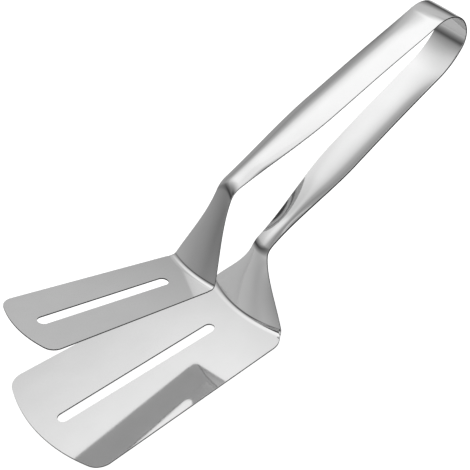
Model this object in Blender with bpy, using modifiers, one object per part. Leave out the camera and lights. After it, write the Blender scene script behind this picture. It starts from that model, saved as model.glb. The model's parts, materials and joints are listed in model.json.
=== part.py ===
"""Kitchen tongs bent from one strip of stainless sheet: two slotted blades on one sprung bow.

Frame: +X runs from the blades to the bow, +Z is up, the lower blade lies flat on the ground plane
and the origin is the middle of the part's footprint. Lengths are metres and angles degrees.
Each arm is designed in its own side view: the blade lies along -X at height zero, the middle of
its heel crease is at the origin, and the riser and the grip climb towards +X.
"""
import math
from collections import namedtuple

import bmesh
import bpy
from mathutils import Vector

# Sheet
SHEET_THICKNESS = 0.0008
EDGE_BREAK = 0.00015
SEAM_GAP = 0.0003
CREASE_RADIUS = 0.0020
NECK_RADIUS = 0.0065

# Strip that makes both grips and the bow
GRIP_WIDTH = 0.0194
NECK_WIDTH = 0.0105
NECK_BULGE = 0.0010
GRIP_FLARE_LENGTH = 0.0569
CHANNEL_RISE_LENGTH = 0.016
CHANNEL_SETTLE_LENGTH = 0.045
CHANNEL_FADE_LENGTH = 0.034

# Lower arm: the wide blade
LOWER_BLADE_LENGTH = 0.1128
LOWER_HEEL_WIDTH = 0.0627
LOWER_TIP_WIDTH = 0.0760
LOWER_TIP_BULGE = 0.0086
LOWER_TIP_CORNER_RADIUS = 0.0085
LOWER_HEEL_CORNER_RADIUS = 0.0085
LOWER_HEEL_STEP = 0.0045
LOWER_CREASE_BULGE = 0.0048
LOWER_FLANK_DEG = 32.0
LOWER_SLOT_WIDTH = 0.0059
LOWER_SLOT_TIP_MARGIN = 0.0108
LOWER_SLOT_HEEL_MARGIN = 0.0150
LOWER_NECK_RUN = 0.0174
LOWER_NECK_RISE = 0.0293
LOWER_NECK_TAPER_DEG = 3.0
LOWER_NECK_CHANNEL_DEPTH = 0.0021
LOWER_CHANNEL_DEPTH = 0.0014
LOWER_GRIP_LENGTH = 0.1134
LOWER_GRIP_START_DEG = 26.1
LOWER_GRIP_END_DEG = 20.4

# Upper arm: the narrow blade that lies down on the wide one
UPPER_BLADE_LENGTH = 0.0900
UPPER_HEEL_WIDTH = 0.0324
UPPER_TIP_WIDTH = 0.0432
UPPER_TIP_BULGE = 0.0046
UPPER_TIP_CORNER_RADIUS = 0.0060
UPPER_HEEL_CORNER_RADIUS = 0.0030
UPPER_HEEL_STEP = 0.00015
UPPER_CREASE_BULGE = 0.0018
UPPER_FLANK_DEG = 14.6
UPPER_SLOT_WIDTH = 0.0059
UPPER_SLOT_TIP_MARGIN = 0.0099
UPPER_SLOT_HEEL_MARGIN = 0.0127
UPPER_NECK_RUN = 0.0158
UPPER_NECK_RISE = 0.0402
UPPER_NECK_TAPER_DEG = -2.5
UPPER_NECK_CHANNEL_DEPTH = 0.0020
UPPER_CHANNEL_DEPTH = 0.0021

# Bow: a flared lead off the lower grip, the tight turn, and a short return into the upper grip
BOW_LEAD_RADIUS = 0.0402
BOW_LEAD_DEG = 25.2
BOW_RADIUS = 0.0123
BOW_RETURN_RADIUS = 0.0226
BOW_RETURN_DEG = 8.5
BOW_EXIT_DEG = 16.3

# How the arms sit on each other when squeezed shut, and how far they spring apart
OPENING_DEG = 15.0
HEEL_SETBACK = 0.0022
CLOSED_CLEARANCE = 0.0004
ARM_SKEW_DEG = -0.7

# Faceting
ACROSS_STEPS = 5
FOLD_STEPS = 6
RISER_STEPS = 8
GRIP_STEPS = 26
CORNER_STEPS = 7
TIP_STEPS = 10
SLOT_END_STEPS = 7
BOW_LEAD_STEPS = 6
BOW_STEPS = 24
BOW_RETURN_STEPS = 3
BOW_ACROSS_STEPS = 2
SMOOTH_BELOW_DEG = 35.0
SQUARE_ABOVE_DEG = 60.0

# How close two points must lie to count as one
WELD_DISTANCE = 0.00001

HINGE_TURN_DEG = OPENING_DEG / 2

Arm = namedtuple("Arm", "blade_length heel_width tip_width tip_bulge tip_corner heel_corner "
                        "heel_step crease_bulge flank_deg slot_width slot_tip slot_heel "
                        "neck_run neck_rise neck_taper_deg neck_channel channel crown")
Grip = namedtuple("Grip", "start_deg end_deg length")
Station = namedtuple("Station", "middle edge half_width")

LOWER = Arm(
    blade_length=LOWER_BLADE_LENGTH, heel_width=LOWER_HEEL_WIDTH, tip_width=LOWER_TIP_WIDTH,
    tip_bulge=LOWER_TIP_BULGE, tip_corner=LOWER_TIP_CORNER_RADIUS,
    heel_corner=LOWER_HEEL_CORNER_RADIUS, heel_step=LOWER_HEEL_STEP,
    crease_bulge=LOWER_CREASE_BULGE, flank_deg=LOWER_FLANK_DEG, slot_width=LOWER_SLOT_WIDTH,
    slot_tip=LOWER_SLOT_TIP_MARGIN, slot_heel=LOWER_SLOT_HEEL_MARGIN,
    neck_run=LOWER_NECK_RUN, neck_rise=LOWER_NECK_RISE, neck_taper_deg=LOWER_NECK_TAPER_DEG,
    neck_channel=LOWER_NECK_CHANNEL_DEPTH, channel=LOWER_CHANNEL_DEPTH, crown=-1)
UPPER = Arm(
    blade_length=UPPER_BLADE_LENGTH, heel_width=UPPER_HEEL_WIDTH, tip_width=UPPER_TIP_WIDTH,
    tip_bulge=UPPER_TIP_BULGE, tip_corner=UPPER_TIP_CORNER_RADIUS,
    heel_corner=UPPER_HEEL_CORNER_RADIUS, heel_step=UPPER_HEEL_STEP,
    crease_bulge=UPPER_CREASE_BULGE, flank_deg=UPPER_FLANK_DEG, slot_width=UPPER_SLOT_WIDTH,
    slot_tip=UPPER_SLOT_TIP_MARGIN, slot_heel=UPPER_SLOT_HEEL_MARGIN,
    neck_run=UPPER_NECK_RUN, neck_rise=UPPER_NECK_RISE, neck_taper_deg=UPPER_NECK_TAPER_DEG,
    neck_channel=UPPER_NECK_CHANNEL_DEPTH, channel=UPPER_CHANNEL_DEPTH, crown=1)
LOWER_GRIP = Grip(LOWER_GRIP_START_DEG, LOWER_GRIP_END_DEG, LOWER_GRIP_LENGTH)


def unit(degrees):
    """Direction in the side view, counted up from +X."""
    return Vector((math.cos(math.radians(degrees)), math.sin(math.radians(degrees))))


def direction(vector):
    """The angle of a side-view vector, in degrees."""
    return math.degrees(math.atan2(vector.y, vector.x))


def ease(share):
    """Smooth step from 0 to 1."""
    share = min(max(share, 0.0), 1.0)
    return share * share * (3 - 2 * share)


def even_bend(start, heading, turn, length, share):
    """The point a share of the way along a run of even curvature."""
    half_turn = math.radians(turn * share) / 2
    shortening = math.sin(half_turn) / half_turn if half_turn else 1.0
    return start + length * share * shortening * unit(heading + turn * share / 2)


def turned(point, pivot, degrees):
    """A side-view point turned about a pivot; positive lifts the blade side, as about +Y."""
    angle = math.radians(degrees)
    dx, dz = point - pivot
    return pivot + Vector((dx * math.cos(angle) + dz * math.sin(angle),
                           -dx * math.sin(angle) + dz * math.cos(angle)))


def fold_reach(before, after, radius):
    """How far a fold's arc starts ahead of its sharp corner."""
    return radius * math.tan(math.radians(abs(after - before)) / 2)


def fold(corner, before, after, radius):
    """Points of a rounded fold between two headings."""
    start = corner - fold_reach(before, after, radius) * unit(before)
    length = radius * math.radians(abs(after - before))
    return [even_bend(start, before, after - before, length, i / FOLD_STEPS) for i in range(FOLD_STEPS + 1)]


def hermite(share, start, start_slope, end, end_slope, length):
    """Cubic from one value and slope to another over a length."""
    square, cube = share ** 2, share ** 3
    return (start * (2 * cube - 3 * square + 1) + start_slope * length * (cube - 2 * square + share)
            + end * (3 * square - 2 * cube) + end_slope * length * (cube - square))


def strip_half_width(arm, neck_travel, travel):
    """Half width of the strip, by travel along its edge from where it leaves the blade."""
    heel_slope = -math.tan(math.radians(arm.flank_deg))
    neck_slope = -math.tan(math.radians(arm.neck_taper_deg))
    if travel < neck_travel:
        heel = arm.heel_width / 2 - arm.heel_step
        return hermite(travel / neck_travel, heel, heel_slope, NECK_WIDTH / 2, neck_slope, neck_travel)
    share = min((travel - neck_travel) / GRIP_FLARE_LENGTH, 1.0)
    return hermite(share, NECK_WIDTH / 2, neck_slope, GRIP_WIDTH / 2, 0.0, GRIP_FLARE_LENGTH)


def neck_corners(arm):
    """The neck's sharp corner on the edge and, pulled along the riser by the channel, in the middle."""
    crease = Vector((arm.crease_bulge, 0.0))
    edge = Vector((arm.neck_run, arm.neck_rise))
    riser = edge - crease
    return crease, edge, edge + arm.crown * NECK_BULGE * riser.normalized()


def grip_start(arm, grip):
    """Where the grip's edge begins, past the neck's fold, and the reach of that fold."""
    crease, neck, _ = neck_corners(arm)
    reach = fold_reach(direction(neck - crease), grip.start_deg, NECK_RADIUS)
    return neck + reach * unit(grip.start_deg), reach


def formed_strip(arm, grip):
    """Stations from the blade through crease, riser, neck and grip to the seam with the bow."""
    crease, neck, neck_middle = neck_corners(arm)
    riser_deg, middle_deg = direction(neck - crease), direction(neck_middle)
    crease_reach = fold_reach(0.0, riser_deg, CREASE_RADIUS)
    start, neck_reach = grip_start(arm, grip)
    neck_travel = crease_reach + (neck - crease).length
    stations = []

    def add(middle, edge, travel):
        stations.append(Station(middle, edge, strip_half_width(arm, neck_travel, travel)))

    lower_edge = fold(crease, 0.0, riser_deg, CREASE_RADIUS)
    lower_middle = fold(Vector((0.0, 0.0)), 0.0, middle_deg, CREASE_RADIUS)
    upper_edge = fold(neck, riser_deg, grip.start_deg, NECK_RADIUS)
    upper_middle = fold(neck_middle, middle_deg, grip.start_deg, NECK_RADIUS)
    for i in range(FOLD_STEPS + 1):
        add(lower_middle[i], lower_edge[i], crease_reach * 2 * i / FOLD_STEPS)
    for i in range(1, RISER_STEPS):
        share = i / RISER_STEPS
        travel = crease_reach * 2 + (neck_travel - neck_reach - crease_reach * 2) * share
        middle = lower_middle[-1].lerp(upper_middle[0], share)
        add(middle, lower_edge[-1].lerp(upper_edge[0], share), travel)
    for i in range(FOLD_STEPS + 1):
        add(upper_middle[i], upper_edge[i], neck_travel + neck_reach * (2 * i / FOLD_STEPS - 1))

    length = grip.length - neck_reach
    turn = grip.end_deg - grip.start_deg
    offset = upper_middle[-1] - start
    lag = offset.dot(unit(grip.start_deg))
    neck_depth = abs(offset.dot(unit(grip.start_deg + 90)))
    usable = (length - SEAM_GAP / 2) / length
    for i in range(1, GRIP_STEPS + 1):
        share = usable * i / GRIP_STEPS
        travel = length * share
        heading = grip.start_deg + turn * share
        rise = ease(travel / CHANNEL_RISE_LENGTH)
        settle = ease((travel - CHANNEL_RISE_LENGTH) / CHANNEL_SETTLE_LENGTH)
        fade = ease((length - travel) / CHANNEL_FADE_LENGTH)
        depth = neck_depth + (arm.neck_channel - neck_depth) * rise
        depth = (depth + (arm.channel - arm.neck_channel) * settle) * fade
        edge = even_bend(start, grip.start_deg, turn, length, share)
        middle = edge + lag * (1 - rise) * unit(heading) + arm.crown * depth * unit(heading + 90)
        add(middle, edge, neck_travel + neck_reach + travel)
    return stations


def grip_to(arm, end, end_deg):
    """The evenly curved grip from an arm's neck to a point and heading of its own side view."""
    neck = Vector((arm.neck_run, arm.neck_rise))
    chord = end - neck
    half_turn = math.radians(end_deg - direction(chord))
    lengthening = half_turn / math.sin(half_turn) if half_turn else 1.0
    return Grip(2 * direction(chord) - end_deg, end_deg, chord.length * lengthening)


def bow_runs():
    """The bow's three even bends (start, heading, turn, length, steps) and the point it ends at."""
    start, reach = grip_start(LOWER, LOWER_GRIP)
    turn = LOWER_GRIP.end_deg - LOWER_GRIP.start_deg
    start = even_bend(start, LOWER_GRIP.start_deg, turn, LOWER_GRIP.length - reach, 1.0)
    heading = LOWER_GRIP.end_deg
    main_turn = 180 + BOW_EXIT_DEG - BOW_RETURN_DEG - BOW_LEAD_DEG - heading
    runs = []
    for radius, turn, steps in ((BOW_LEAD_RADIUS, BOW_LEAD_DEG, BOW_LEAD_STEPS),
                                (BOW_RADIUS, main_turn, BOW_STEPS),
                                (BOW_RETURN_RADIUS, BOW_RETURN_DEG, BOW_RETURN_STEPS)):
        length = radius * math.radians(turn)
        runs.append((start, heading, turn, length, steps))
        start = even_bend(start, heading, turn, length, 1.0)
        heading += turn
    return runs, start


def bow_stations():
    """The bow's strip, short of both seams by half their gap."""
    runs, _ = bow_runs()
    half_gap = SEAM_GAP / 2
    stations = []
    for number, (start, heading, turn, length, steps) in enumerate(runs):
        first = half_gap / length if number == 0 else 0.0
        last = 1.0 - half_gap / length if number == len(runs) - 1 else 1.0
        for i in range(0 if number == 0 else 1, steps + 1):
            point = even_bend(start, heading, turn, length, first + (last - first) * i / steps)
            stations.append(Station(point, point, GRIP_WIDTH / 2))
    return stations


def arc(center, radius, start_deg, end_deg, steps):
    """Plan-view points of an arc about a centre."""
    return [center + radius * unit(start_deg + (end_deg - start_deg) * i / steps) for i in range(steps + 1)]


def heel_corner_arc(arm, edge_point, flare):
    """Arc that starts at the crease's end and runs tangent into the blade's side."""
    radius = arm.heel_corner
    stretch = math.sqrt(1 + flare ** 2)
    inset = edge_point.y - arm.heel_width / 2 + flare * edge_point.x + radius * stretch
    spread = math.sqrt(inset ** 2 * flare ** 2 - stretch ** 2 * (inset ** 2 - radius ** 2))
    center_x = edge_point.x - (inset * flare + spread) / stretch ** 2
    center = Vector((center_x, arm.heel_width / 2 - flare * center_x - radius * stretch))
    first, last = direction(edge_point - center), direction(Vector((flare, 1.0)))
    return arc(center, radius, first, last, CORNER_STEPS)


def tip_arcs(arm, flare):
    """The tip corner, tangent to the side and to the bulging front edge, and that edge's half."""
    half = arm.tip_width / 2
    radius = (half ** 2 + arm.tip_bulge ** 2) / (2 * arm.tip_bulge)
    front = Vector((radius - arm.blade_length, 0.0))
    stretch = math.sqrt(1 + flare ** 2)
    inner = arm.heel_width / 2 - arm.tip_corner * stretch
    reach = radius - arm.tip_corner
    middle = front.x + inner * flare
    spread = math.sqrt(middle ** 2 - stretch ** 2 * (front.x ** 2 + inner ** 2 - reach ** 2))
    center_x = (middle - spread) / stretch ** 2
    center = Vector((center_x, inner - flare * center_x))
    meet = direction(center - front)
    corner = arc(center, arm.tip_corner, direction(Vector((flare, 1.0))), meet, CORNER_STEPS)
    return corner + arc(front, radius, meet, 180.0, TIP_STEPS)[1:]


def slot_half(arm):
    """Half of the slot, from its tip end to its heel end."""
    half = arm.slot_width / 2
    tip_end = Vector((arm.slot_tip - arm.blade_length + half, 0.0))
    heel_end = Vector((-arm.slot_heel - half, 0.0))
    return arc(tip_end, half, 180.0, 90.0, SLOT_END_STEPS) + arc(heel_end, half, 90.0, 0.0, SLOT_END_STEPS)


def blade_half(arm, first):
    """Outline of half the blade in plan, from the crease's middle round to the slot's heel end."""
    flare = (arm.tip_width - arm.heel_width) / 2 / arm.blade_length
    crease = []
    for i in range(ACROSS_STEPS + 1):
        share = i / ACROSS_STEPS
        bulge = first.edge.x - first.middle.x
        crease.append(Vector((first.middle.x + bulge * share ** 2, first.half_width * share)))
    return crease + heel_corner_arc(arm, crease[-1], flare)[1:] + tip_arcs(arm, flare) + slot_half(arm)


def add_strip(bm, stations, across):
    """Half of the strip: a grid whose rows are laid on the stations."""
    rows = len(stations) - 1
    grid = bmesh.ops.create_grid(bm, x_segments=rows, y_segments=across, size=1.0)["verts"]
    for vert in grid:
        station = stations[round((vert.co.x + 1) / 2 * rows)]
        share = (vert.co.y + 1) / 2
        side = station.middle.lerp(station.edge, share ** 2)
        vert.co = (side.x, station.half_width * share, side.y)


def add_blade(bm, outline):
    """Half of the flat blade as one face."""
    bm.faces.new([bm.verts.new((point.x, point.y, 0.0)) for point in outline])


def steel(name):
    """Polished stainless steel."""
    material = bpy.data.materials.new(name)
    material.use_nodes = True
    shader = material.node_tree.nodes["Principled BSDF"]
    shader.inputs["Base Color"].default_value = (0.78, 0.78, 0.79, 1.0)
    shader.inputs["Metallic"].default_value = 1.0
    shader.inputs["Roughness"].default_value = 0.12
    return material


def sheet_object(name, bm, origin, collection):
    """A mirrored half turned into a solid sheet, with its origin moved to a side-view point."""
    bmesh.ops.remove_doubles(bm, verts=bm.verts, dist=WELD_DISTANCE)
    bmesh.ops.translate(bm, verts=bm.verts, vec=(-origin.x, 0.0, -origin.y))
    mesh = bpy.data.meshes.new(name)
    bm.to_mesh(mesh)
    bm.free()
    mesh.shade_smooth()
    mesh.set_sharp_from_angle(angle=math.radians(SMOOTH_BELOW_DEG))
    mesh.materials.append(steel(name + "_steel"))
    piece = bpy.data.objects.new(name, mesh)
    collection.objects.link(piece)
    mirror = piece.modifiers.new("other_half", "MIRROR")
    mirror.use_axis = (False, True, False)
    mirror.merge_threshold = WELD_DISTANCE
    sheet = piece.modifiers.new("sheet", "SOLIDIFY")
    sheet.thickness = SHEET_THICKNESS
    sheet.offset = 0.0
    broken = piece.modifiers.new("broken_edges", "BEVEL")
    broken.width = EDGE_BREAK
    broken.segments = 1
    broken.limit_method = "ANGLE"
    broken.angle_limit = math.radians(SQUARE_ABOVE_DEG)
    return piece


def arm_object(name, arm, grip, origin, collection):
    stations = formed_strip(arm, grip)
    bm = bmesh.new()
    add_strip(bm, stations, ACROSS_STEPS)
    add_blade(bm, blade_half(arm, stations[0]))
    return sheet_object(name, bm, origin, collection)


def bow_object(name, origin, collection):
    bm = bmesh.new()
    add_strip(bm, bow_stations(), BOW_ACROSS_STEPS)
    return sheet_object(name, bm, origin, collection)


def upper_heel(lower_hinge, upper_hinge):
    """Where the upper heel is when open: its closed seat on the lower blade, sprung back at both hinges."""
    closed = Vector((-HEEL_SETBACK, SHEET_THICKNESS + CLOSED_CLEARANCE))
    return turned(turned(closed, lower_hinge, HINGE_TURN_DEG), upper_hinge, HINGE_TURN_DEG)


def footprint_middle(runs, heel):
    """Side-view point under the middle of the whole part, on the ground."""
    start, heading, _, _, _ = runs[1]
    bow_end = (start + BOW_RADIUS * unit(heading + 90)).x + BOW_RADIUS + SHEET_THICKNESS / 2
    upper_tip = turned(heel - Vector((UPPER.blade_length, 0.0)), heel, OPENING_DEG)
    tip_end = min(-LOWER.blade_length, upper_tip.x)
    return Vector(((tip_end + bow_end) / 2, -SHEET_THICKNESS / 2))


def build():
    for old in list(bpy.data.objects):
        bpy.data.objects.remove(old)
    collection = bpy.data.collections.new("kitchen_tongs")
    bpy.context.scene.collection.children.link(collection)

    runs, upper_hinge = bow_runs()
    lower_hinge = runs[0][0]
    heel = upper_heel(lower_hinge, upper_hinge)
    ground = footprint_middle(runs, heel)
    own_hinge = turned(upper_hinge - heel, Vector((0.0, 0.0)), -OPENING_DEG)
    upper_grip = grip_to(UPPER, own_hinge, BOW_EXIT_DEG + OPENING_DEG)

    lower = arm_object("lower_arm", LOWER, LOWER_GRIP, ground, collection)
    bow = bow_object("spring_bow", lower_hinge, collection)
    bow.parent = lower
    bow.location = (lower_hinge.x - ground.x, 0.0, lower_hinge.y - ground.y)
    upper = arm_object("upper_arm", UPPER, upper_grip, own_hinge, collection)
    upper.parent = bow
    upper.location = (upper_hinge.x - lower_hinge.x, 0.0, upper_hinge.y - lower_hinge.y)
    upper.rotation_euler = (0.0, math.radians(OPENING_DEG), math.radians(ARM_SKEW_DEG))


build()
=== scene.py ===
"""Kitchen tongs in polished steel: the finished sheet, its steel, and a plain white studio."""
import json
import math
from collections import namedtuple

import bmesh
import bpy
from mathutils import Matrix, Vector


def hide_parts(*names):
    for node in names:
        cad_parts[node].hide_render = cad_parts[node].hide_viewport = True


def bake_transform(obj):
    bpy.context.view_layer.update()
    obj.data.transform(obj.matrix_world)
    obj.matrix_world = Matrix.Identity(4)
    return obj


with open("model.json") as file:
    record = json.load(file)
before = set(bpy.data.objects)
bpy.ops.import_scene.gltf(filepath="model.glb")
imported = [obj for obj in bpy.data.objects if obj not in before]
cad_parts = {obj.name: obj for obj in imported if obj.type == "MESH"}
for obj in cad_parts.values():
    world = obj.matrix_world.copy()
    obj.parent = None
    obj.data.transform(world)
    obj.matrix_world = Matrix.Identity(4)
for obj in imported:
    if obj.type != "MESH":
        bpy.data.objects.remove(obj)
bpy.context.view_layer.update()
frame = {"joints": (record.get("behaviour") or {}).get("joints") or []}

# Sheet, in metres as all lengths here
SHEET_THICKNESS = 0.0008
EDGE_ROUND = 0.00010
CREASE_RADIUS = 0.0020
CREASE_EASE = 1.8

# Strip that makes both grips and the bow
GRIP_WIDTH = 0.0194
NECK_WIDTH = 0.0105
GRIP_FLARE_LENGTH = 0.0569
CHANNEL_RISE_LENGTH = 0.016
CHANNEL_SETTLE_LENGTH = 0.024
CHANNEL_FADE_LENGTH = 0.040
CHANNEL_OVERRUN = 0.020
UPPER_SINK = 0.00075
UPPER_SINK_LEAD = 0.040

Arm = namedtuple("Arm", (
    "blade_length heel_width tip_width tip_bulge tip_corner heel_corner heel_step heel_spread "
    "crease_bulge flank_deg slot_width slot_tip slot_heel neck_run neck_rise neck_radius "
    "neck_bulge neck_taper neck_channel channel crown"))
LOWER = Arm(
    blade_length=0.1128, heel_width=0.0627, tip_width=0.0760, tip_bulge=0.0086,
    tip_corner=0.0085, heel_corner=0.0085, heel_step=0.0041, heel_spread=0.9, crease_bulge=0.0048,
    flank_deg=32.0, slot_width=0.0059, slot_tip=0.0108, slot_heel=0.0150,
    neck_run=0.0174, neck_rise=0.0293, neck_radius=0.0085, neck_bulge=0.0012,
    neck_taper=3.0, neck_channel=0.0021, channel=0.0014, crown=-1)
UPPER = Arm(
    blade_length=0.0900, heel_width=0.0324, tip_width=0.0432, tip_bulge=0.0046,
    tip_corner=0.0060, heel_corner=0.0030, heel_step=0.00015, heel_spread=0.0, crease_bulge=0.0018,
    flank_deg=14.6, slot_width=0.0059, slot_tip=0.0099, slot_heel=0.0127,
    neck_run=0.0158, neck_rise=0.0402, neck_radius=0.0105, neck_bulge=0.0023,
    neck_taper=-2.5, neck_channel=0.0020, channel=0.0021, crown=1)
Grip = namedtuple("Grip", "start_deg end_deg length")
LOWER_GRIP = Grip(26.1, 20.4, 0.1134)

# Bow, and how the arms sit on each other
BOW_LEAD_RADIUS = 0.0402
BOW_LEAD_DEG = 25.2
BOW_RADIUS = 0.0123
BOW_RETURN_RADIUS = 0.0226
BOW_RETURN_DEG = 8.5
BOW_EXIT_DEG = 16.3
OPENING_DEG = 15.0
HEEL_SETBACK = 0.0022
CLOSED_CLEARANCE = 0.0004
ARM_SKEW_DEG = -0.7

# Where the two skins meet, and the small guard either side of that line
MEETING_HEADING_DEG = 90.0
MEETING_GUARD = 0.00005

# Fineness of the mesh
ACROSS_STEPS = 22
FOLD_STEPS = 22
RISER_STEPS = 34
GRIP_STEPS = 120
CORNER_STEPS = 24
TIP_STEPS = 40
SLOT_END_STEPS = 20
BEND_STEP = 0.0006
EDGE_SEGMENTS = 3
RIM_DEG = 60.0
SHARP_DEG = 35.0
WELD_DISTANCE = 0.000005

# Polished steel: noise scales along, across and through the strip, tones, gloss and relief
HAZE_SCALE = (55.0, 70.0, 1.0)
LINES_SCALE = (60.0, 4200.0, 1.0)
WAVES_SCALE = (34.0, 50.0, 1.0)
STEEL_NOISE_ROUGHNESS = 0.55
STEEL_TONES = [(0.25, 0.665), (0.75, 0.695)]
STEEL_ROUGHNESS = 0.045
HAZE_ROUGHNESS = 0.06
WAVE_HEIGHT = 0.00001
LINE_HEIGHT = 0.000001
LINE_STRENGTH = 0.12

# Cut edge: its marks, the very dark tone that paints shade along the sheet's edges, and the
# stretch over which that painted shade darkens from the blades to the grips
MARK_SCALE = 900.0
MARK_HEIGHT = 0.00001
MARK_STRENGTH = 0.3
EDGE_SHADE_TONES = [(0.1, 0.018), (0.95, 0.11)]
EDGE_BRIGHTNESS = 0.6
MARK_BRIGHTNESS = 0.35
EDGE_ROUGHNESS = 0.20
MARK_ROUGHNESS = 0.14
BRIGHT_EDGE_END = -0.010
DARK_EDGE_START = 0.006

# Camera
CAMERA_AIM = (0.00142, 0.01758, 0.02699)
CAMERA_DISTANCE = 0.8412
CAMERA_AZIMUTH_DEG = -31.09
CAMERA_ELEVATION_DEG = 40.67
CAMERA_ROLL_DEG = -9.19
CAMERA_LENS_MM = 137.43
CAMERA_NEAR_LIMIT = 0.01
SENSOR_MM = 36.0

# Table top
FLOOR_SIZE = 6.0
FLOOR_DROP = 0.0003
FLOOR_GLOW = 0.86
FLOOR_GLOW_IN_STEEL = 0.33
FLOOR_GRAIN_SCALE = 60.0
FLOOR_TONES = [(0.3, 0.57), (0.7, 0.60)]

# Light tent that stands on the table
TENT_RADIUS = 0.7
TENT_SKIRT = 0.01
TENT_SEGMENTS = 64
TENT_RINGS = 32
PANEL_LEVEL = 1.401
LOWEST_SLOPE = 0.05

# The panel's soft edges, on a level plane one unit above the tongs
PANEL_LEFT = (-0.943, 0.258)
PANEL_RIGHT = (0.367, 0.736)
PANEL_NEAR = (-0.35, -0.101)
PANEL_FAR = (0.405, 1.644)

# Brightness of each wall by height, from level to straight up, and where walls blend
RIGHT_WALL = [(0, 0.225), (0.17, 0.086), (0.34, 0.336),
              (0.5, 0.673), (0.707, 0.748), (0.87, 0.395)]
LEFT_WALL = [(0, 0.7), (0.17, 0.446), (0.34, 0.23), (0.5, 0.036), (0.707, 0.264), (0.87, 0.085)]
NEAR_WALL = [(0, 0.3), (0.3, 0.5), (0.6, 0.66), (0.76, 0.5), (0.9, 0.06)]
CORNER_WALL = [(0, 0.535), (0.17, 0.627), (0.34, 0.393), (0.5, 0.057)]
FAR_WALL = [(0, 0.45), (0.34, 0.44), (0.42, 0.38), (0.55, 0.50), (0.62, 0.42), (0.70, 0.55)]
LEFT_TO_RIGHT = (-0.953, 0.488)
INTO_CORNER = (0.86, 0.985)
INTO_FAR = (0.86, 0.98)
INTO_NEAR = (0.0, 0.6)


class Station:
    """One cross-line of the strip: its middle and edge in the side view, and its half width."""

    def __init__(self, middle, edge, half_width):
        self.middle, self.edge, self.half_width = middle, edge, half_width

    def at(self, share):
        """Side-view point a share of the way from the middle to the edge."""
        return self.middle.lerp(self.edge, share ** 2)

    def placed(self, place):
        return Station(place(self.middle), place(self.edge), self.half_width)


def unit(degrees):
    return Vector((math.cos(math.radians(degrees)), math.sin(math.radians(degrees))))


def direction(vector):
    return math.degrees(math.atan2(vector.y, vector.x))


def ease(share):
    share = min(max(share, 0.0), 1.0)
    return share * share * (3 - 2 * share)


def even_bend(start, heading, turn, length, share):
    """The point a share of the way along a run of even curvature."""
    half_turn = math.radians(turn * share) / 2
    shortening = math.sin(half_turn) / half_turn if half_turn else 1.0
    return start + length * share * shortening * unit(heading + turn * share / 2)


def turned(point, pivot, degrees):
    """A side-view point turned about a pivot; positive lifts the blade side."""
    angle = math.radians(degrees)
    dx, dz = point - pivot
    across = Vector((dx * math.cos(angle) + dz * math.sin(angle),
                     -dx * math.sin(angle) + dz * math.cos(angle)))
    return pivot + across


def fold_reach(before, after, radius):
    return radius * math.tan(math.radians(abs(after - before)) / 2)


def fold(corner, before, after, radius):
    """Points of a rounded fold between two headings."""
    start = corner - fold_reach(before, after, radius) * unit(before)
    length = radius * math.radians(abs(after - before))
    shares = [i / FOLD_STEPS for i in range(FOLD_STEPS + 1)]
    return [even_bend(start, before, after - before, length, share) for share in shares]


def crease_fold(corner, before, after):
    """Points of the crease, eased in from the blade, and its reach before and past the corner."""
    turn = after - before
    step = CREASE_RADIUS * math.radians(abs(turn)) * CREASE_EASE / FOLD_STEPS
    points = [Vector((0.0, 0.0))]
    for i in range(FOLD_STEPS):
        share = (i + 0.5) / FOLD_STEPS
        points.append(points[-1] + step * unit(before + turn * share ** CREASE_EASE))
    reach_out = points[-1].cross(unit(before)) / unit(after).cross(unit(before))
    reach_in = (points[-1] - reach_out * unit(after)).dot(unit(before))
    start = corner - reach_in * unit(before)
    return [start + point for point in points], reach_in, reach_out


def hermite(share, start, start_slope, end, end_slope, length):
    """Cubic from one value and slope to another over a length."""
    square, cube = share ** 2, share ** 3
    slopes = start_slope * (cube - 2 * square + share) + end_slope * (cube - square)
    return start * (2 * cube - 3 * square + 1) + end * (3 * square - 2 * cube) + length * slopes


def strip_half_width(arm, neck_travel, travel):
    """Half width of the strip, by travel along its edge from where it leaves the blade."""
    heel_slope = -math.tan(math.radians(arm.flank_deg))
    neck_slope = -math.tan(math.radians(arm.neck_taper))
    neck = NECK_WIDTH / 2
    heel = arm.heel_width / 2 - arm.heel_step
    if travel < 0:
        return heel - arm.heel_spread * travel
    if travel < neck_travel:
        share = travel / neck_travel
        return hermite(share, heel, heel_slope, neck, neck_slope, neck_travel)
    share = min((travel - neck_travel) / GRIP_FLARE_LENGTH, 1.0)
    return hermite(share, neck, neck_slope, GRIP_WIDTH / 2, 0.0, GRIP_FLARE_LENGTH)


def neck_corners(arm):
    """The crease, and the neck's sharp corner on the edge and in the middle."""
    crease = Vector((arm.crease_bulge, 0.0))
    edge = Vector((arm.neck_run, arm.neck_rise))
    riser = edge - crease
    return crease, edge, edge + arm.crown * arm.neck_bulge * riser.normalized()


def grip_start(arm, grip):
    """Where the grip begins on the edge, past the neck's fold, and the reach of that fold."""
    crease, neck, _ = neck_corners(arm)
    reach = fold_reach(direction(neck - crease), grip.start_deg, arm.neck_radius)
    return neck + reach * unit(grip.start_deg), reach


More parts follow.
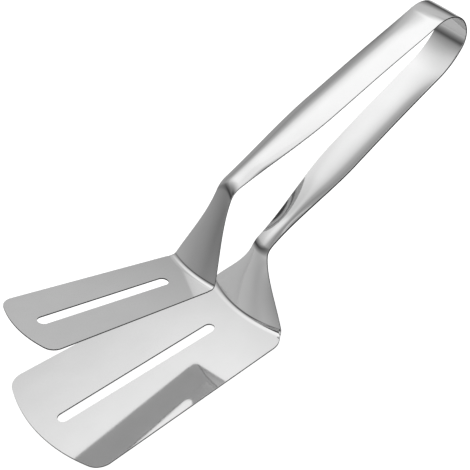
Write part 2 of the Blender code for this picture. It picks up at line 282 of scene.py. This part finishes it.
def formed_strip(arm, grip):
    """Stations from the blade through crease, riser, neck and grip to the bow."""
    crease, neck, neck_middle = neck_corners(arm)
    riser_deg, middle_deg = direction(neck - crease), direction(neck_middle)
    crease_reach = fold_reach(0.0, riser_deg, CREASE_RADIUS)
    start, neck_reach = grip_start(arm, grip)
    neck_travel = crease_reach + (neck - crease).length
    stations = []

    def add(middle, edge, travel):
        stations.append(Station(middle, edge, strip_half_width(arm, neck_travel, travel)))

    lower_edge, reach_in, reach_out = crease_fold(crease, 0.0, riser_deg)
    lower_middle = crease_fold(Vector((0.0, 0.0)), 0.0, middle_deg)[0]
    upper_edge = fold(neck, riser_deg, grip.start_deg, arm.neck_radius)
    upper_middle = fold(neck_middle, middle_deg, grip.start_deg, arm.neck_radius)
    fold_start, riser_start = crease_reach - reach_in, crease_reach + reach_out
    for i in range(FOLD_STEPS + 1):
        travel = fold_start + (riser_start - fold_start) * i / FOLD_STEPS
        add(lower_middle[i], lower_edge[i], travel)
    for i in range(1, RISER_STEPS):
        share = i / RISER_STEPS
        travel = riser_start + (neck_travel - neck_reach - riser_start) * share
        middle = lower_middle[-1].lerp(upper_middle[0], share)
        add(middle, lower_edge[-1].lerp(upper_edge[0], share), travel)
    for i in range(FOLD_STEPS + 1):
        add(upper_middle[i], upper_edge[i], neck_travel + neck_reach * (2 * i / FOLD_STEPS - 1))

    length = grip.length - neck_reach
    turn = grip.end_deg - grip.start_deg
    offset = upper_middle[-1] - start
    lag = offset.dot(unit(grip.start_deg))
    neck_depth = abs(offset.dot(unit(grip.start_deg + 90)))
    for i in range(1, GRIP_STEPS + 1):
        share = i / GRIP_STEPS
        travel = length * share
        heading = grip.start_deg + turn * share
        rise = ease(travel / CHANNEL_RISE_LENGTH)
        settle = ease((travel - CHANNEL_RISE_LENGTH) / CHANNEL_SETTLE_LENGTH)
        fade = ease((length + CHANNEL_OVERRUN - travel) / CHANNEL_FADE_LENGTH)
        depth = neck_depth + (arm.neck_channel - neck_depth) * rise
        depth = (depth + (arm.channel - arm.neck_channel) * settle) * fade
        edge = even_bend(start, grip.start_deg, turn, length, share)
        middle = edge + lag * (1 - rise) * unit(heading)
        middle += arm.crown * depth * unit(heading + 90)
        add(middle, edge, neck_travel + neck_reach + travel)
    return stations


def grip_to(arm, end, end_deg):
    """The evenly curved grip from an arm's neck to a point and heading of its own side view."""
    neck = Vector((arm.neck_run, arm.neck_rise))
    chord = end - neck
    half_turn = math.radians(end_deg - direction(chord))
    lengthening = half_turn / math.sin(half_turn) if half_turn else 1.0
    return Grip(2 * direction(chord) - end_deg, end_deg, chord.length * lengthening)


def bow_runs():
    """The bow's three even bends (start, heading, turn, length) and the point it ends at."""
    start, reach = grip_start(LOWER, LOWER_GRIP)
    turn = LOWER_GRIP.end_deg - LOWER_GRIP.start_deg
    start = even_bend(start, LOWER_GRIP.start_deg, turn, LOWER_GRIP.length - reach, 1.0)
    heading = LOWER_GRIP.end_deg
    main_turn = 180 + BOW_EXIT_DEG - BOW_RETURN_DEG - BOW_LEAD_DEG - heading
    runs = []
    for radius, turn in ((BOW_LEAD_RADIUS, BOW_LEAD_DEG), (BOW_RADIUS, main_turn),
                         (BOW_RETURN_RADIUS, BOW_RETURN_DEG)):
        length = radius * math.radians(turn)
        runs.append((start, heading, turn, length))
        start = even_bend(start, heading, turn, length, 1.0)
        heading += turn
    return runs, start


def bend_stations(run, first, last):
    """Stations of a bow run between two shares of it."""
    start, heading, turn, length = run
    steps = max(1, round(abs(last - first) * length / BEND_STEP))
    shares = [first + (last - first) * i / steps for i in range(steps + 1)]
    points = [even_bend(start, heading, turn, length, share) for share in shares]
    return [Station(point, point, GRIP_WIDTH / 2) for point in points]


def run_out(stations, arm):
    """The end of a grip's channel, run out over the start of the bow."""
    shaped, travel = [], 0.0
    for i, station in enumerate(stations):
        before, after = stations[max(i - 1, 0)], stations[min(i + 1, len(stations) - 1)]
        travel += (station.edge - before.edge).length
        depth = arm.channel * ease((CHANNEL_OVERRUN - travel) / CHANNEL_FADE_LENGTH)
        outward = unit(direction(after.edge - before.edge) + 90)
        middle = station.middle + arm.crown * depth * outward
        shaped.append(Station(middle, station.edge, station.half_width))
    return shaped


def bow_halves(runs):
    """The bow from the lower grip to its meeting line, and from the upper grip to it."""
    lead, main, back = runs
    meeting = (MEETING_HEADING_DEG - main[1]) / main[2]
    guard = MEETING_GUARD / main[3]
    lower = bend_stations(lead, 0.0, 1.0) + bend_stations(main, 0.0, meeting - guard)[1:]
    upper = bend_stations(back, 1.0, 0.0) + bend_stations(main, 1.0, meeting + guard)[1:]
    end = bend_stations(main, meeting, meeting)[-1:]
    return run_out(lower + end, LOWER), run_out(upper + end, UPPER)


def arc(center, radius, start_deg, end_deg, steps):
    turn = end_deg - start_deg
    return [center + radius * unit(start_deg + turn * i / steps) for i in range(steps + 1)]


def heel_corner_arc(arm, edge_point, flare):
    """Arc that starts at the crease's end and runs tangent into the blade's side."""
    radius = arm.heel_corner
    stretch = math.sqrt(1 + flare ** 2)
    inset = edge_point.y - arm.heel_width / 2 + flare * edge_point.x + radius * stretch
    spread = math.sqrt(inset ** 2 * flare ** 2 - stretch ** 2 * (inset ** 2 - radius ** 2))
    center_x = edge_point.x - (inset * flare + spread) / stretch ** 2
    center = Vector((center_x, arm.heel_width / 2 - flare * center_x - radius * stretch))
    first, last = direction(edge_point - center), direction(Vector((flare, 1.0)))
    return arc(center, radius, first, last, CORNER_STEPS)


def tip_arcs(arm, flare):
    """The tip corner, tangent to the side and to the bulging front edge, and that edge's half."""
    half = arm.tip_width / 2
    radius = (half ** 2 + arm.tip_bulge ** 2) / (2 * arm.tip_bulge)
    front = Vector((radius - arm.blade_length, 0.0))
    stretch = math.sqrt(1 + flare ** 2)
    inner = arm.heel_width / 2 - arm.tip_corner * stretch
    reach = radius - arm.tip_corner
    middle = front.x + inner * flare
    spread = math.sqrt(middle ** 2 - stretch ** 2 * (front.x ** 2 + inner ** 2 - reach ** 2))
    center_x = (middle - spread) / stretch ** 2
    center = Vector((center_x, inner - flare * center_x))
    meet = direction(center - front)
    corner = arc(center, arm.tip_corner, direction(Vector((flare, 1.0))), meet, CORNER_STEPS)
    return corner + arc(front, radius, meet, 180.0, TIP_STEPS)[1:]


def slot_half(arm):
    """Half of the slot, from its tip end to its heel end."""
    half = arm.slot_width / 2
    tip_end = Vector((arm.slot_tip - arm.blade_length + half, 0.0))
    heel_end = Vector((-arm.slot_heel - half, 0.0))
    tip_arc = arc(tip_end, half, 180.0, 90.0, SLOT_END_STEPS)
    return tip_arc + arc(heel_end, half, 90.0, 0.0, SLOT_END_STEPS)


def blade_half(arm, first):
    """Outline of half the blade in plan, from the crease's middle round to the slot's heel end."""
    flare = (arm.tip_width - arm.heel_width) / 2 / arm.blade_length
    shares = [i / ACROSS_STEPS for i in range(ACROSS_STEPS + 1)]
    crease = [Vector((first.at(share).x, first.half_width * share)) for share in shares]
    heel = heel_corner_arc(arm, crease[-1], flare)[1:]
    return crease + heel + tip_arcs(arm, flare) + slot_half(arm)


def add_blade(bm, outline, place, along):
    """Half of the flat blade as one face."""
    verts = []
    for point in outline:
        side = place(Vector((point.x, 0.0)))
        verts.append(bm.verts.new((side.x, point.y, side.y)))
        verts[-1][along] = point.x
    bm.faces.new(verts)


def add_strip(bm, stations, along, first_along):
    """Half of the strip: a grid whose rows are laid on the stations."""
    rows = len(stations) - 1
    travel = [first_along]
    for before, after in zip(stations, stations[1:]):
        step_middle = (after.middle - before.middle).length
        step_edge = (after.edge - before.edge).length
        travel.append((travel[-1][0] + step_middle, travel[-1][1] + step_edge))
    grid = bmesh.ops.create_grid(bm, x_segments=rows, y_segments=ACROSS_STEPS, size=1.0)["verts"]
    for vert in grid:
        row = round((vert.co.x + 1) / 2 * rows)
        share = (vert.co.y + 1) / 2
        side = stations[row].at(share)
        vert.co = (side.x, stations[row].half_width * share, side.y)
        vert[along] = travel[row][0] + (travel[row][1] - travel[row][0]) * share ** 2


def sheet_mesh(name, arm, formed, rest, place):
    """The whole sheet of one arm and its half of the bow, with rounded cut edges."""
    bm = bmesh.new()
    along = bm.verts.layers.float.new("along")
    add_blade(bm, blade_half(arm, formed[0]), place, along)
    stations = [station.placed(place) for station in formed] + rest[1:]
    first = (formed[0].middle.x, formed[0].edge.x)
    add_strip(bm, stations, along, first)
    bmesh.ops.remove_doubles(bm, verts=bm.verts, dist=WELD_DISTANCE)
    bmesh.ops.recalc_face_normals(bm, faces=bm.faces)
    sheet = bpy.data.meshes.new(name)
    bm.to_mesh(sheet)
    bm.free()

    blank = bpy.data.objects.new(name + "_blank", sheet)
    bpy.context.scene.collection.objects.link(blank)
    mirror = blank.modifiers.new("other_half", "MIRROR")
    mirror.use_axis = (False, True, False)
    mirror.merge_threshold = WELD_DISTANCE
    wall = blank.modifiers.new("wall", "SOLIDIFY")
    wall.thickness = SHEET_THICKNESS
    wall.offset = 0.0
    wall.material_offset_rim = 1
    sheet.materials.append(None)
    sheet.materials.append(None)
    graph = bpy.context.evaluated_depsgraph_get()
    mesh = bpy.data.meshes.new_from_object(blank.evaluated_get(graph))
    bpy.data.objects.remove(blank)

    bm = bmesh.new()
    bm.from_mesh(mesh)
    meeting = rest[-1].middle

    def at_meeting(edge):
        return all(vert.co.x > meeting.x - SHEET_THICKNESS
                   and abs(vert.co.z - meeting.y) < MEETING_GUARD / 2 for vert in edge.verts)

    steep = math.radians(RIM_DEG)
    rims = [edge for edge in bm.edges
            if edge.calc_face_angle(0.0) > steep and not at_meeting(edge)]
    rounded = bmesh.ops.bevel(bm, geom=rims, offset=EDGE_ROUND, offset_type="OFFSET",
                              affect="EDGES", segments=EDGE_SEGMENTS, profile=0.5, material=-1,
                              clamp_overlap=False)
    for face in rounded["faces"]:
        face.material_index = 0
    bm.to_mesh(mesh)
    bm.free()
    return mesh


def finished(name, mesh, materials):
    """The sheet as an object, shaded smooth with crisp flats, and its strip coordinates."""
    mesh.name = name
    mesh.shade_smooth()
    mesh.set_sharp_from_angle(angle=math.radians(SHARP_DEG))
    along = mesh.attributes["along"].data
    place = mesh.attributes.new("strip_place", "FLOAT_VECTOR", "POINT")
    for vert, value, spot in zip(mesh.vertices, along, place.data):
        spot.vector = (value.value, vert.co.y, 0.0)
    for slot, material in enumerate(materials):
        mesh.materials[slot] = material
    piece = bpy.data.objects.new(name, mesh)
    bpy.context.scene.collection.objects.link(piece)
    flats = piece.modifiers.new("crisp_flats", "WEIGHTED_NORMAL")
    flats.keep_sharp = True
    return piece


def skew(mesh, hinge, centre):
    """Turns the upper arm a little sideways about its hinge, eased in round the bow, and sinks the
    bow's top by as much as the channel's run-out raises it."""
    turn = Vector((hinge.x - centre.x, hinge.y - centre.y))
    full = direction(turn)
    pivot = Vector((hinge.x, 0.0, hinge.y))
    for vert in mesh.vertices:
        offset = Vector((vert.co.x - centre.x, vert.co.z - centre.y))
        share = 1.0 if vert.co.x < hinge.x else ease(direction(offset) / full)
        turning = Matrix.Rotation(math.radians(ARM_SKEW_DEG) * share, 3, "Z")
        vert.co = pivot + turning @ (vert.co - pivot)
        vert.co.z -= UPPER_SINK * share * ease(1 + (vert.co.x - hinge.x) / UPPER_SINK_LEAD)


class Wire:
    """A node's output. Sums and products with numbers or other wires add Math nodes."""

    def __init__(self, socket):
        self.socket = socket

    def maths(self, operation, first, second):
        tree = Tree(self.socket.id_data)
        return tree.node("ShaderNodeMath", {"operation": operation}, {0: first, 1: second})

    def __add__(self, other):
        return self.maths("ADD", self, other)

    def __radd__(self, other):
        return self.maths("ADD", other, self)

    def __sub__(self, other):
        return self.maths("SUBTRACT", self, other)

    def __rsub__(self, other):
        return self.maths("SUBTRACT", other, self)

    def __mul__(self, other):
        return self.maths("MULTIPLY", self, other)

    def __rmul__(self, other):
        return self.maths("MULTIPLY", other, self)

    def __truediv__(self, other):
        return self.maths("DIVIDE", self, other)

    def __rtruediv__(self, other):
        return self.maths("DIVIDE", other, self)

    def __pow__(self, other):
        return self.maths("POWER", self, other)


class Tree:
    """A node tree that nodes are added to with their settings first and then their sockets."""

    def __init__(self, tree):
        self.tree = tree

    def node(self, kind, settings=None, inputs=None, output=0):
        node = self.tree.nodes.new(kind)
        for key, value in (settings or {}).items():
            if key == "stops":
                self.set_stops(node.color_ramp, value)
            else:
                setattr(node, key, value)
        for key, value in (inputs or {}).items():
            if isinstance(value, Wire):
                self.tree.links.new(value.socket, node.inputs[key])
            else:
                node.inputs[key].default_value = value
        return Wire(node.outputs[output]) if node.outputs else None

    @staticmethod
    def set_stops(ramp, stops):
        while len(ramp.elements) < len(stops):
            ramp.elements.new(1.0)
        for element, (position, level) in zip(ramp.elements, stops):
            element.position = position
            element.color = (level, level, level, 1.0)


def empty_material(name):
    material = bpy.data.materials.new(name)
    material.use_nodes = True
    material.node_tree.nodes.clear()
    return material, Tree(material.node_tree)


def polished_steel():
    """Mirror-polished stainless: soft haze patches, faint lines along the strip, slight waves."""
    material, tree = empty_material("polished_steel")
    place = tree.node("ShaderNodeAttribute", {"attribute_name": "strip_place"}, output="Vector")

    def stretched_noise(scale, detail):
        spot = tree.node("ShaderNodeVectorMath", {"operation": "MULTIPLY"}, {0: place, 1: scale})
        return tree.node("ShaderNodeTexNoise", {"noise_dimensions": "3D"}, {
            "Vector": spot, "Scale": 1.0, "Detail": detail, "Roughness": STEEL_NOISE_ROUGHNESS})

    haze = stretched_noise(HAZE_SCALE, 3.0)
    lines = stretched_noise(LINES_SCALE, 3.0)
    waves = stretched_noise(WAVES_SCALE, 1.0)
    tone = tree.node("ShaderNodeValToRGB", {"stops": STEEL_TONES}, {"Fac": haze})
    bump = tree.node("ShaderNodeBump", None, {
        "Strength": 1.0, "Distance": WAVE_HEIGHT, "Height": waves})
    bump = tree.node("ShaderNodeBump", None, {
        "Strength": LINE_STRENGTH, "Distance": LINE_HEIGHT, "Height": lines, "Normal": bump})
    shader = tree.node("ShaderNodeBsdfPrincipled", None, {
        "Base Color": tone, "Metallic": 1.0, "Normal": bump,
        "Roughness": STEEL_ROUGHNESS + HAZE_ROUGHNESS * haze * lines})
    tree.node("ShaderNodeOutputMaterial", None, {"Surface": shader})
    return material


def cut_edge_painted_shade():
    """The sheared edge of the sheet: duller, with short marks, in a very dark tone that paints the
    shade along the sheet's edges, lighter round the blades than along the grips."""
    material, tree = empty_material("cut_edge_steel")
    place = tree.node("ShaderNodeTexCoord", output="Object")
    marks = tree.node("ShaderNodeTexNoise", None, {
        "Vector": place, "Scale": MARK_SCALE, "Detail": 3.0})
    along = tree.node("ShaderNodeSeparateXYZ", None, {0: place})
    grip = tree.node("ShaderNodeMapRange", {"interpolation_type": "SMOOTHSTEP"}, {
        "Value": along, "From Min": BRIGHT_EDGE_END, "From Max": DARK_EDGE_START})
    # Painted shade: a very dark edge tone, lighter round the blades and darker along the grips,
    # varied by the marks
    brightness = EDGE_BRIGHTNESS - EDGE_BRIGHTNESS * grip + MARK_BRIGHTNESS * marks
    tone = tree.node("ShaderNodeValToRGB", {"stops": EDGE_SHADE_TONES}, {"Fac": brightness})
    bump = tree.node("ShaderNodeBump", None, {
        "Strength": MARK_STRENGTH, "Distance": MARK_HEIGHT, "Height": marks})
    shader = tree.node("ShaderNodeBsdfPrincipled", None, {
        "Base Color": tone, "Metallic": 1.0, "Normal": bump,
        "Roughness": EDGE_ROUGHNESS + MARK_ROUGHNESS * marks})
    tree.node("ShaderNodeOutputMaterial", None, {"Surface": shader})
    return material


def tongs():
    """Both skins: the lower arm and the upper arm, each with its half of the bow."""
    runs, upper_hinge = bow_runs()
    lower_hinge = runs[0][0]
    joints = {joint["name"]: Vector(joint["pos_m"]) for joint in frame["joints"]}
    ground = Vector((lower_hinge.x - joints["squeeze"].x, lower_hinge.y - joints["squeeze"].z))
    closed = Vector((-HEEL_SETBACK, SHEET_THICKNESS + CLOSED_CLEARANCE))
    half_opening = OPENING_DEG / 2
    heel = turned(turned(closed, lower_hinge, half_opening), upper_hinge, half_opening)
    own_hinge = turned(upper_hinge - heel, Vector((0.0, 0.0)), -OPENING_DEG)
    upper_grip = grip_to(UPPER, own_hinge, BOW_EXIT_DEG + OPENING_DEG)

    def place_lower(point):
        return point - ground

    def place_upper(point):
        return turned(heel + point, heel, OPENING_DEG) - ground

    lower_bow, upper_bow = bow_halves(runs)
    materials = (polished_steel(), cut_edge_painted_shade())

    mesh = sheet_mesh("lower_sheet", LOWER, formed_strip(LOWER, LOWER_GRIP),
                      [station.placed(place_lower) for station in lower_bow], place_lower)
    lower = finished("lower_sheet", mesh, materials)
    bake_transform(lower)
    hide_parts("lower_arm", "spring_bow")

    mesh = sheet_mesh("upper_sheet", UPPER, formed_strip(UPPER, upper_grip),
                      [station.placed(place_lower) for station in upper_bow], place_upper)
    upper = finished("upper_sheet", mesh, materials)
    main = runs[1]
    centre = place_lower(main[0] + BOW_RADIUS * unit(main[1] + 90))
    skew(upper.data, place_lower(upper_hinge), centre)
    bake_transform(upper)
    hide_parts("upper_arm")


def camera():
    azimuth, elevation = math.radians(CAMERA_AZIMUTH_DEG), math.radians(CAMERA_ELEVATION_DEG)
    roll = math.radians(CAMERA_ROLL_DEG)
    back = Vector((math.sin(azimuth) * math.cos(elevation),
                   -math.cos(azimuth) * math.cos(elevation), math.sin(elevation)))
    right = Vector((math.cos(azimuth), math.sin(azimuth), 0.0))
    up = back.cross(right)
    side = math.cos(roll) * right + math.sin(roll) * up
    top = math.cos(roll) * up - math.sin(roll) * right
    data = bpy.data.cameras.new("camera")
    data.lens = CAMERA_LENS_MM
    data.sensor_width = SENSOR_MM
    data.clip_start = CAMERA_NEAR_LIMIT
    eye = bpy.data.objects.new("camera", data)
    turning = Matrix((side, top, back)).transposed().to_4x4()
    eye.matrix_world = Matrix.Translation(Vector(CAMERA_AIM) + back * CAMERA_DISTANCE) @ turning
    bpy.context.scene.collection.objects.link(eye)
    bpy.context.scene.camera = eye


def staged(name, bm, material):
    """A finished mesh as a piece of the studio."""
    mesh = bpy.data.meshes.new(name)
    bm.to_mesh(mesh)
    bm.free()
    mesh.materials.append(material)
    piece = bpy.data.objects.new(name, mesh)
    bpy.context.scene.collection.objects.link(piece)
    return piece


def floor():
    """A matt table top that the camera sees as white, and the steel as a pale grey."""
    bm = bmesh.new()
    bmesh.ops.create_grid(bm, x_segments=1, y_segments=1, size=FLOOR_SIZE / 2)
    bmesh.ops.translate(bm, verts=bm.verts, vec=(0.0, 0.0, -FLOOR_DROP))
    material, tree = empty_material("white_table")
    path = tree.node("ShaderNodeLightPath").socket.node
    in_steel = Wire(path.outputs["Is Glossy Ray"]) + Wire(path.outputs["Is Transmission Ray"])
    seen = Wire(path.outputs["Is Camera Ray"]) + FLOOR_GLOW_IN_STEEL * in_steel
    unlit, lit = (0.0, 0.0, 0.0, 1.0), (FLOOR_GLOW, FLOOR_GLOW, FLOOR_GLOW, 1.0)
    glow = tree.node("ShaderNodeMix", {"data_type": "RGBA"}, {0: seen, 6: unlit, 7: lit}, output=2)
    place = tree.node("ShaderNodeTexCoord", output="Object")
    grain = tree.node("ShaderNodeTexNoise", None, {
        "Vector": place, "Scale": FLOOR_GRAIN_SCALE, "Detail": 4.0})
    tone = tree.node("ShaderNodeValToRGB", {"stops": FLOOR_TONES}, {"Fac": grain})
    shader = tree.node("ShaderNodeBsdfPrincipled", None, {
        "Base Color": tone, "Roughness": 1.0, "Specular IOR Level": 0.0,
        "Emission Color": glow, "Emission Strength": 1.0})
    tree.node("ShaderNodeOutputMaterial", None, {"Surface": shader})
    staged("table", bm, material)


def light_tent():
    """A cloth tent that the camera looks through: a bright panel overhead and slightly to the
    right, over walls that are lit unevenly."""
    bm = bmesh.new()
    bmesh.ops.create_uvsphere(bm, u_segments=TENT_SEGMENTS, v_segments=TENT_RINGS,
                              radius=TENT_RADIUS)
    bmesh.ops.bisect_plane(bm, geom=bm.verts[:] + bm.edges[:] + bm.faces[:], clear_inner=True,
                           plane_co=(0.0, 0.0, -TENT_SKIRT), plane_no=(0.0, 0.0, 1.0))
    material, tree = empty_material("tent_cloth")
    place = tree.node("ShaderNodeTexCoord", output="Object")
    facing = tree.node("ShaderNodeVectorMath", {"operation": "NORMALIZE"}, {0: place})
    apart = tree.node("ShaderNodeSeparateXYZ", None, {0: facing}).socket.node
    x, y, z = (Wire(output) for output in apart.outputs)

    def eased(value, start, end):
        limits = {"Value": value, "From Min": start, "From Max": end}
        return tree.node("ShaderNodeMapRange", {"interpolation_type": "SMOOTHSTEP"}, limits)

    def by_height(stops):
        return tree.node("ShaderNodeValToRGB", {"stops": stops}, {"Fac": z})

    def blended(first, second, share):
        return first + (second - first) * share

    height = z.maths("MAXIMUM", z, LOWEST_SLOPE)
    flat = (x * x + y * y) ** 0.5
    over_x, over_y = x / height, y / height
    panel = eased(over_x, *PANEL_LEFT) * (1 - eased(over_x, *PANEL_RIGHT))
    panel = panel * eased(over_y, *PANEL_NEAR) * (1 - eased(over_y, *PANEL_FAR))
    left, right = by_height(LEFT_WALL), by_height(RIGHT_WALL)
    walls = blended(left, right, eased(x / flat, *LEFT_TO_RIGHT))
    walls = blended(walls, by_height(CORNER_WALL), eased(0 - x / flat, *INTO_CORNER))
    walls = blended(walls, by_height(FAR_WALL), eased(y / flat, *INTO_FAR))
    walls = blended(walls, by_height(NEAR_WALL), eased(0 - y / flat, *INTO_NEAR))
    level = blended(walls, PANEL_LEVEL, panel)

    dark = tree.node("ShaderNodeEmission", None, {"Strength": 0.0})
    lit = tree.node("ShaderNodeEmission", None, {"Color": (1, 1, 1, 1), "Strength": PANEL_LEVEL})
    cloth = tree.node("ShaderNodeMixShader", None, {0: level / PANEL_LEVEL, 1: dark, 2: lit})
    tree.node("ShaderNodeOutputMaterial", None, {"Surface": cloth})
    staged("light_tent", bm, material).visible_camera = False


def white_surround():
    """The plain white that the camera sees past the table."""
    world = bpy.data.worlds.new("studio")
    bpy.context.scene.world = world
    world.use_nodes = True
    world.node_tree.nodes.clear()
    tree = Tree(world.node_tree)
    white = tree.node("ShaderNodeBackground", None, {"Color": (1, 1, 1, 1), "Strength": 1.0})
    tree.node("ShaderNodeOutputWorld", None, {"Surface": white})


tongs()
floor()
light_tent()
white_surround()
camera()
bpy.context.scene.view_settings.view_transform = "Standard"
